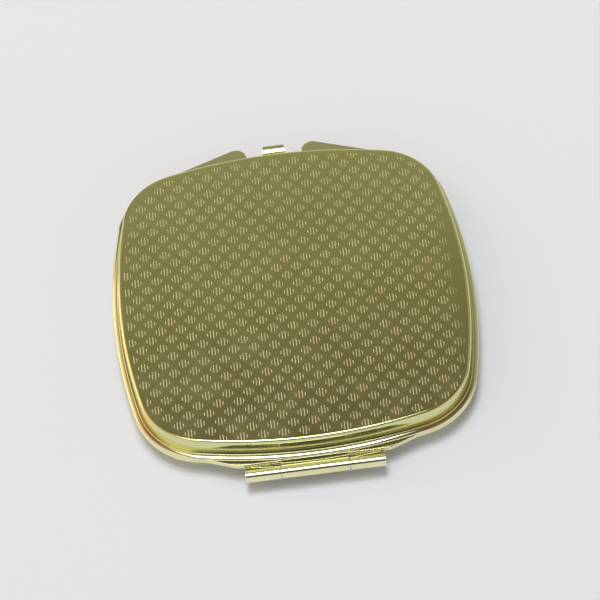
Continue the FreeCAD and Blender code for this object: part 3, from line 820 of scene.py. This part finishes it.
def base_shell():
    """The drawn dish, with the slot that the foot of the catch passes through."""
    build = Build()
    foot = [(SHELL_OUT + SHELL_FOOT * (1 - math.sin(a)), SHELL_FOOT * (1 - math.cos(a)))
            for a in (math.pi / 2 * step / 8 for step in range(9))]
    outer = build.sweep(foot + [(SHELL_OUT, SLOT_HIGH), (SHELL_OUT, BASE_RIM_LOW)], closed=False)
    inner_section = [(SHELL_IN + 0.3, SHELL_FLOOR), (SHELL_IN + 0.08, SHELL_FLOOR + 0.08),
                     (SHELL_IN, SHELL_FLOOR + 0.25), (SHELL_IN, SLOT_HIGH), (SHELL_IN, BASE_RIM_LOW)]
    inner = build.sweep(inner_section, closed=False)
    build.bridge(outer[-1], inner[-1])
    for row, height in ((outer[0], 0.0), (inner[0], SHELL_FLOOR)):
        holes = [
            build.level(ring(RIVET_SHANK, 32, side * RIVET_X, RIVET_Y), height)
            for side in (-1, 1)
        ]
        build.fill([row] + holes)
        if height == 0.0:
            low_holes = holes
    for low, high in zip(low_holes, holes):
        build.bridge(low, high)
    made = build.become("base_dish", "base", [SOFT_GOLD], ["base_shell"])
    cutter_data = bpy.data.meshes.new("slot_cutter")
    edit = bmesh.new()
    bmesh.ops.create_cube(edit, size=1.0)
    edit.to_mesh(cutter_data)
    edit.free()
    cutter = add("slot_cutter", cutter_data)
    wall_y = HALF_WIDTH - (SHELL_OUT + SHELL_IN) / 2
    cutter.matrix_world = (
        Matrix.Translation(Vector((0.0, wall_y, (SLOT_LOW + SLOT_HIGH) / 2)) * MM)
        @ Matrix.Diagonal((2 * SLOT_HALF * MM, 2 * MM, (SLOT_HIGH - SLOT_LOW) * MM, 1.0))
    )
    cut = made.modifiers.new("catch_slot", "BOOLEAN")
    cut.object = cutter
    cut.operation = "DIFFERENCE"
    cut.solver = "EXACT"
    bpy.context.view_layer.update()
    with bpy.context.temp_override(object=made, active_object=made, selected_objects=[made]):
        bpy.ops.object.modifier_apply(modifier=cut.name)
    bpy.data.objects.remove(cutter)
    bpy.data.meshes.remove(cutter_data)
    even_shading(made.data)


TRAY_LOW, TRAY_HIGH = box_mm("inner_tray")
TRAY_INSET = 1.9
HOOK_SLOT_HALF = 2.3
HOOK_SLOT_Y = 26.0
WELL_RADIUS = 25.2
WELL_OUTER = 25.6
LIFT_NOTCH = 3.0
TRAY_PLATE = 0.35


def inner_tray():
    """The deck: a plate with the well for the pan, a fingernail notch and the slot for the hook."""
    build = Build()
    kept = [p for p in outline(TRAY_INSET) if not (p[1] > 0 and abs(p[0]) <= HOOK_SLOT_HALF)]
    first = next(i for i, p in enumerate(kept) if p[1] > 0 and p[0] < -HOOK_SLOT_HALF and kept[i - 1][0] > 0)
    mouth_y = kept[first][1] + 0.02
    slot = rounded([
        (HOOK_SLOT_HALF, mouth_y), (HOOK_SLOT_HALF, HOOK_SLOT_Y),
        (-HOOK_SLOT_HALF, HOOK_SLOT_Y), (-HOOK_SLOT_HALF, mouth_y),
    ], [0.0, 0.5, 0.5, 0.0], closed=False)
    outer = kept[:first] + slot + kept[first:]
    half = math.acos(1 - LIFT_NOTCH**2 / (2 * WELL_RADIUS**2))
    steps = 150
    well = []
    for step in range(steps + 1):
        angle = -math.pi / 2 + half + (2 * math.pi - 2 * half) * step / steps
        well.append((WELL_RADIUS * math.cos(angle), WELL_RADIUS * math.sin(angle)))
    start = math.atan2(well[-1][1] + WELL_RADIUS, well[-1][0])
    end = math.atan2(well[0][1] + WELL_RADIUS, well[0][0]) + 2 * math.pi
    for step in range(1, 20):
        angle = start + (end - start) * step / 20
        well.append((LIFT_NOTCH * math.cos(angle), -WELL_RADIUS + LIFT_NOTCH * math.sin(angle)))
    build.slab(outer, [well[::-1]], TRAY_HIGH.z - TRAY_PLATE, TRAY_HIGH.z, 0.1)
    build.lathe([
        (WELL_RADIUS, TRAY_LOW.z), (WELL_OUTER, TRAY_LOW.z),
        (WELL_OUTER, TRAY_HIGH.z - TRAY_PLATE - SEAM), (WELL_RADIUS, TRAY_HIGH.z - TRAY_PLATE - SEAM),
    ], closed=True)
    build.become("powder_deck", "base", [SOFT_GOLD], ["inner_tray"])


PAN_LOW, PAN_HIGH = box_mm("powder_pan")
POWDER_LOW, POWDER_HIGH = box_mm("pressed_powder")
PAN_WALL = 0.35
PAN_FLAT = 20.0                      # radius of the flat middle of the pan's floor
GROOVE_PITCH = 2.4
GROOVE_DEPTH = 0.11
CRUMB_SIZE = 0.012


def powder_pan():
    """A thin tinned godet with a rounded foot and a rolled lip."""
    build = Build()
    outer = PAN_HIGH.x
    inner = outer - PAN_WALL
    floor_z = POWDER_LOW.z - SEAM
    section = rounded(
        [
            (PAN_FLAT, PAN_LOW.z), (outer, PAN_LOW.z), (outer, PAN_HIGH.z),
            (inner, PAN_HIGH.z), (inner, floor_z), (PAN_FLAT, floor_z),
        ],
        [0.0, 0.5, 0.16, 0.16, 0.3, 0.0], closed=False, steps=6,
    )
    rows = build.lathe(section)
    build.fan(rows[0], (0.0, 0.0, PAN_LOW.z))
    build.fan(rows[-1], (0.0, 0.0, floor_z))
    build.become("powder_godet", "base", [PAN_METAL], ["powder_pan"])


def pressed_powder():
    """The cake, embossed with a lattice of shallow grooves and worn smooth near the middle."""
    build = Build()
    radius = POWDER_HIGH.x
    steps = 240
    rows = [
        build.level(ring(radius - 0.1, steps), POWDER_LOW.z),
        build.level(ring(radius, steps), POWDER_LOW.z + 0.2),
        build.level(ring(radius, steps), POWDER_HIGH.z - 0.3),
    ]
    rings = 90
    for index in range(rings, 0, -1):
        share = index / rings
        at = (radius - 0.08) * share
        lip = 0.18 * max(0.0, (share - 0.985) / 0.015)
        points = []
        for x, y in ring(at, steps):
            one = abs(((x + y) / GROOVE_PITCH) % 1.0 - 0.5) * 2
            other = abs(((x - y) / GROOVE_PITCH) % 1.0 - 0.5) * 2
            groove = max(0.0, max(one, other) - 0.78) / 0.22
            worn = min(1.0, max(0.25, (at - 7.0) / 8.0))
            crumb = CRUMB_SIZE * noise.noise(Vector((x, y, 0.0)) * 2.2)
            dip = GROOVE_DEPTH * groove * groove * worn
            points.append((x, y, POWDER_HIGH.z - 0.02 - lip - dip + crumb))
        rows.append(build.row(points))
    build.loft(rows)
    build.fan(rows[0], (0.0, 0.0, POWDER_LOW.z))
    build.fan(rows[-1], (0.0, 0.0, POWDER_HIGH.z - 0.03))
    build.become("powder_tablet", "base", [POWDER], ["pressed_powder"], sharp=60.0)


# ---------------------------------------------------------------- puff
PAD_LOW, PAD_HIGH = box_mm("puff_pad")
TOP_LOW, TOP_HIGH = box_mm("puff_top")
RIBBON_LOW, RIBBON_HIGH = box_mm("puff_ribbon")


def soft_disc(name, section, materials, node, wobble, seed):
    """A soft round piece: a turned section whose surface wanders a little."""
    build = Build()
    steps = 200
    rows = []
    for radius, height in section:
        points = []
        for x, y in ring(radius, steps):
            here = Vector((x, y, height + seed))
            push = noise.noise(here * 0.22) * wobble
            edge = radius / PAD_HIGH.x
            pinch = 0.35 * wobble * edge**8 * math.sin(math.atan2(y, x) * 44)
            swell = 1 + (push + pinch) * 0.02
            points.append((x * swell, y * swell, height + push * 0.5))
        rows.append(build.row(points))
    build.loft(rows)
    build.fan(rows[0], (0.0, 0.0, section[0][1]))
    build.fan(rows[-1], (0.0, 0.0, section[-1][1]))
    made = build.become(name, "base", materials, [node], sharp=80.0)


def puff():
    """A velour pad sewn to a satin top, with a ribbon to slip a finger under."""
    radius = PAD_HIGH.x
    low = PAD_LOW.z
    high = PAD_HIGH.z
    pad = [(radius * share, low + 0.12 * share**4 + 0.03) for share in (0.1, 0.3, 0.5, 0.7, 0.85, 0.93)]
    pad += [(radius - 0.5, low + 0.32), (radius - 0.12, low + 0.7), (radius - 0.02, low + 1.0),
            (radius - 0.12, high - 0.35), (radius - 0.45, high - 0.06)]
    pad += [(radius * share, high - 0.02) for share in (0.9, 0.6, 0.3, 0.1)]
    soft_disc("puff_velour", pad, [VELOUR], "puff_pad", 0.05, 3.0)
    low = TOP_LOW.z
    high = TOP_HIGH.z
    satin = [(radius * share, low + 0.03) for share in (0.1, 0.4, 0.7, 0.9)]
    satin += [(radius - 0.5, low + 0.02), (radius - 0.1, low + 0.08), (radius - 0.02, low + 0.17),
              (radius - 0.1, low + 0.25), (radius - 0.35, low + 0.27), (radius - 0.6, low + 0.2),
              (radius - 0.9, low + 0.19)]
    satin += [(radius * share, high - 0.03 - 0.13 * share**6)
              for share in (0.93, 0.88, 0.8, 0.6, 0.4, 0.2, 0.1)]
    soft_disc("puff_satin", satin, [PUFF_SATIN], "puff_top", 0.04, 8.0)


def puff_ribbon():
    """The band across the puff, its ends tucked down to the seam."""
    build = Build()
    long_steps = 60
    wide_steps = 12
    half_long = RIBBON_HIGH.x
    half_wide = RIBBON_HIGH.y
    thick = 0.11
    layers = []
    for lift in (0.0, thick):
        rows = []
        for i in range(long_steps + 1):
            u = -1 + 2 * i / long_steps
            points = []
            for j in range(wide_steps + 1):
                v = -1 + 2 * j / wide_steps
                selvedge = 0.02 * max(0.0, abs(v) - 0.85) / 0.15 * (1 if lift else -0.5)
                tuck = 0.18 * max(0.0, abs(u) - 0.86) / 0.14
                ripple = 0.02 * math.sin(u * 9) * math.cos(v * 2)
                height = RIBBON_LOW.z + 0.02 + lift + selvedge - tuck + ripple
                points.append((u * half_long, v * half_wide, height))
            rows.append(build.row(points))
        layers.append(rows)
    for rows in layers:
        for one, other in zip(rows, rows[1:]):
            build.bridge(one, other, closed=False)
    borders = []
    for rows in layers:
        border = list(rows[0]) + [row[-1] for row in rows[1:]] + list(rows[-1][-2::-1])
        border += [row[0] for row in rows[-2:0:-1]]
        borders.append(border)
    build.bridge(*borders)
    made = build.become("puff_band", "base", [RIBBON], ["puff_ribbon"], sharp=60.0)


# ---------------------------------------------------------------- mirror
BEZEL_LOW, BEZEL_HIGH = box_mm("mirror_bezel")
MIRROR_LOW, MIRROR_HIGH = box_mm("mirror")
BEZEL_INSET = 0.5
BEZEL_SKIRT = 1.2
BEZEL_STEP = (3.1, 3.3)
BEZEL_OPENING = 4.4
MIRROR_INSET = 1.3


def mirror_bezel():
    """The pressed frame round the mirror, with a rolled inner lip and a shallow step."""
    build = Build()
    lip = MIRROR_LOW.z
    build.sweep(rounded(
        [
            (BEZEL_INSET, BEZEL_HIGH.z), (BEZEL_INSET, BEZEL_LOW.z + 0.12),
            (BEZEL_STEP[0], BEZEL_LOW.z + 0.12), (BEZEL_STEP[1], BEZEL_LOW.z),
            (BEZEL_OPENING, BEZEL_LOW.z), (BEZEL_OPENING, lip - SEAM),
            (BEZEL_SKIRT, lip - SEAM), (BEZEL_SKIRT, BEZEL_HIGH.z),
        ],
        [0.05, 0.3, 0.1, 0.1, 0.13, 0.1, 0.05, 0.05], steps=5,
    ))
    build.become("mirror_frame", "lid", [POLISHED], ["mirror_bezel"])


def mirror_plate():
    """The glass, with ground edges."""
    build = Build()
    build.slab(outline(MIRROR_INSET), [], MIRROR_LOW.z, MIRROR_HIGH.z, 0.12)
    build.become("mirror_plate", "lid", [MIRROR_GLASS], ["mirror"])


def dress(node, material):
    """Gives a CAD node that is kept its own procedural material."""
    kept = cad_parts[node]
    kept.data.materials.clear()
    kept.data.materials.append(material)


engraved_panel()
lid_frame()
base_frame()
hinge_pin()
catch_slide()
catch_rivets()
base_shell()
inner_tray()
powder_pan()
pressed_powder()
puff()
puff_ribbon()
mirror_bezel()
mirror_plate()
dress("catch_guide", SOFT_GOLD)
dress("catch_spring", SPRING_STEEL)
dress("pan_adhesive", CARD)
dress("mirror_card", CARD)
dress("mirror_cushion", FOAM)


# ---------------------------------------------------------------- studio
PAPER_LIGHT = (0.748, 0.783, 0.870)
PAPER_DEEP = (0.733, 0.768, 0.853)
PAPER_Z = -0.1                       # millimetres

CAMERA_AT = (-6.40, -292.78, 430.01)
CAMERA_AIM = (1.10, -2.28, CROWN_TOP)
CAMERA_ROLL = math.radians(5.88)
CAMERA_LENS = 174.36


def paper_floor():
    """A wide sheet of pale paper."""
    data = bpy.data.meshes.new("floor")
    edit = bmesh.new()
    bmesh.ops.create_grid(edit, x_segments=8, y_segments=8, size=2.0)
    edit.to_mesh(data)
    edit.free()
    made = add("floor", data)
    made.location.z = PAPER_Z * MM
    finish = Finish("paper", Roughness=0.9)
    fibres = finish.noise(600.0, 4.0)
    finish.colour(finish.blend(fibres, PAPER_LIGHT, PAPER_DEEP))
    data.materials.append(finish.material)


def softbox(name, at, target, size, watts, colour=(1.0, 1.0, 1.0)):
    """An evenly lit rectangular lamp that faces the object."""
    lamp = bpy.data.lights.new(name, "AREA")
    lamp.shape = "RECTANGLE"
    lamp.size, lamp.size_y = size
    lamp.energy = watts
    lamp.color = colour
    made = add(name, lamp)
    made.location = at
    made.rotation_mode = "QUATERNION"
    made.rotation_quaternion = (Vector(target) - Vector(at)).to_track_quat("-Z", "Y")
    return made


LOW_ROOM = (0.74, 0.75, 0.75)        # pale walls near the horizon, on the camera's side
HIGH_ROOM = (                        # left to right (0 to 1) above them, with a dark flag over the camera
    (0.0, (0.85, 0.74, 0.50)),
    (0.32, (0.88, 0.82, 0.68)),
    (0.40, (0.10, 0.095, 0.105)),
    (0.58, (0.10, 0.09, 0.095)),
    (0.66, (0.28, 0.19, 0.10)),
    (1.0, (0.42, 0.34, 0.22)),
)
FAR_ROOM = (                         # upwards (0 to 1) on the far side
    (0.0, (0.52, 0.50, 0.36)),
    (0.60, (0.46, 0.445, 0.31)),
    (0.78, (0.33, 0.322, 0.213)),
    (0.87, (0.121, 0.099, 0.062)),
    (1.0, (0.125, 0.11, 0.08)),
)
SIDE_GAIN = (                        # how much brighter the far side is towards the left
    (0.0, (2.5, 1.76, 1.5)),
    (0.37, (2.45, 1.8, 1.6)),
    (0.45, (1.0, 1.0, 1.0)),
    (1.0, (0.8, 0.8, 0.8)),
)
CORNER_GAIN = (                      # the same beyond the end of the bright wall on the left
    (0.0, (0.40, 0.45, 0.50)),
    (0.37, (0.40, 0.45, 0.50)),
    (0.45, (1.0, 1.0, 1.0)),
    (1.0, (0.8, 0.8, 0.8)),
)
WALL_TOP = (0.60, 0.70)              # height of a direction at which the low walls end
WALL_END = (0.615, 0.64)             # depth at which the bright wall on the left ends
FAR_FROM = (-0.2, 0.2)               # depth at which the camera's side passes into the far side


def room_light():
    """Soft room light that depends only on the direction in the room."""
    world = bpy.data.worlds.new("studio")
    bpy.context.scene.world = world
    world.use_nodes = True
    tree = world.node_tree

    def ramp(socket, stops):
        made = tree.nodes.new("ShaderNodeValToRGB")
        tree.links.new(socket, made.inputs[0])
        elements = made.color_ramp.elements
        elements.remove(elements[1])
        elements[0].position = stops[0][0]
        elements[0].color = (*stops[0][1], 1.0)
        for position, tint in stops[1:]:
            elements.new(position).color = (*tint, 1.0)
        return made.outputs[0]

    def between(socket, low, high):
        made = tree.nodes.new("ShaderNodeMapRange")
        made.inputs["From Min"].default_value = low
        made.inputs["From Max"].default_value = high
        tree.links.new(socket, made.inputs["Value"])
        return made.outputs["Result"]

    def mix(share, one, other, kind="MIX"):
        made = tree.nodes.new("ShaderNodeMix")
        made.data_type = "RGBA"
        made.blend_type = kind
        for index, value in ((0, share), (6, one), (7, other)):
            if isinstance(value, bpy.types.NodeSocket):
                tree.links.new(value, made.inputs[index])
            else:
                made.inputs[index].default_value = value if index == 0 else (*value, 1.0)
        return made.outputs[2]

    place = tree.nodes.new("ShaderNodeTexCoord")
    split = tree.nodes.new("ShaderNodeSeparateXYZ")
    tree.links.new(place.outputs["Generated"], split.inputs[0])
    across = between(split.outputs["X"], -1.0, 1.0)
    near = mix(between(split.outputs["Z"], *WALL_TOP), LOW_ROOM, ramp(across, HIGH_ROOM))
    beyond = between(split.outputs["Y"], *WALL_END)
    gain = mix(beyond, ramp(across, SIDE_GAIN), ramp(across, CORNER_GAIN))
    far = mix(1.0, ramp(split.outputs["Z"], FAR_ROOM), gain, "MULTIPLY")
    light = mix(between(split.outputs["Y"], *FAR_FROM), near, far)
    tree.links.new(light, tree.nodes["Background"].inputs["Color"])


def camera():
    """Above the hinge side, a little rolled, far off on a long lens."""
    data = bpy.data.cameras.new("camera")
    data.lens = CAMERA_LENS
    data.sensor_width = 36.0
    data.clip_start = 0.01
    data.clip_end = 20.0
    made = add("camera", data)
    made.location = Vector(CAMERA_AT) * MM
    target = Vector(CAMERA_AIM) * MM
    facing = (target - made.location).to_track_quat("-Z", "Y").to_matrix().to_4x4()
    made.matrix_world = Matrix.Translation(made.location) @ facing @ Matrix.Rotation(-CAMERA_ROLL, 4, "Z")
    bpy.context.scene.camera = made


paper_floor()
room_light()
softbox("key", (-0.04, 0.08, 1.1), (-0.04, 0.08, 0.0), (0.345, 0.66), 2.8)
fill = softbox("fill", (-0.08, 0.2, 1.1), (0.0, 0.0, 0.0), (0.55, 0.42), 4.75)
fill.visible_glossy = False          # it lights the paper but adds no streak to the polished rims
softbox("window", (-1.0, 0.7, 0.45), (0.0, 0.0, 0.0), (0.7, 0.6), 1.0, (1.0, 0.9, 0.75))
camera()
bpy.context.scene.view_settings.view_transform = "Standard"
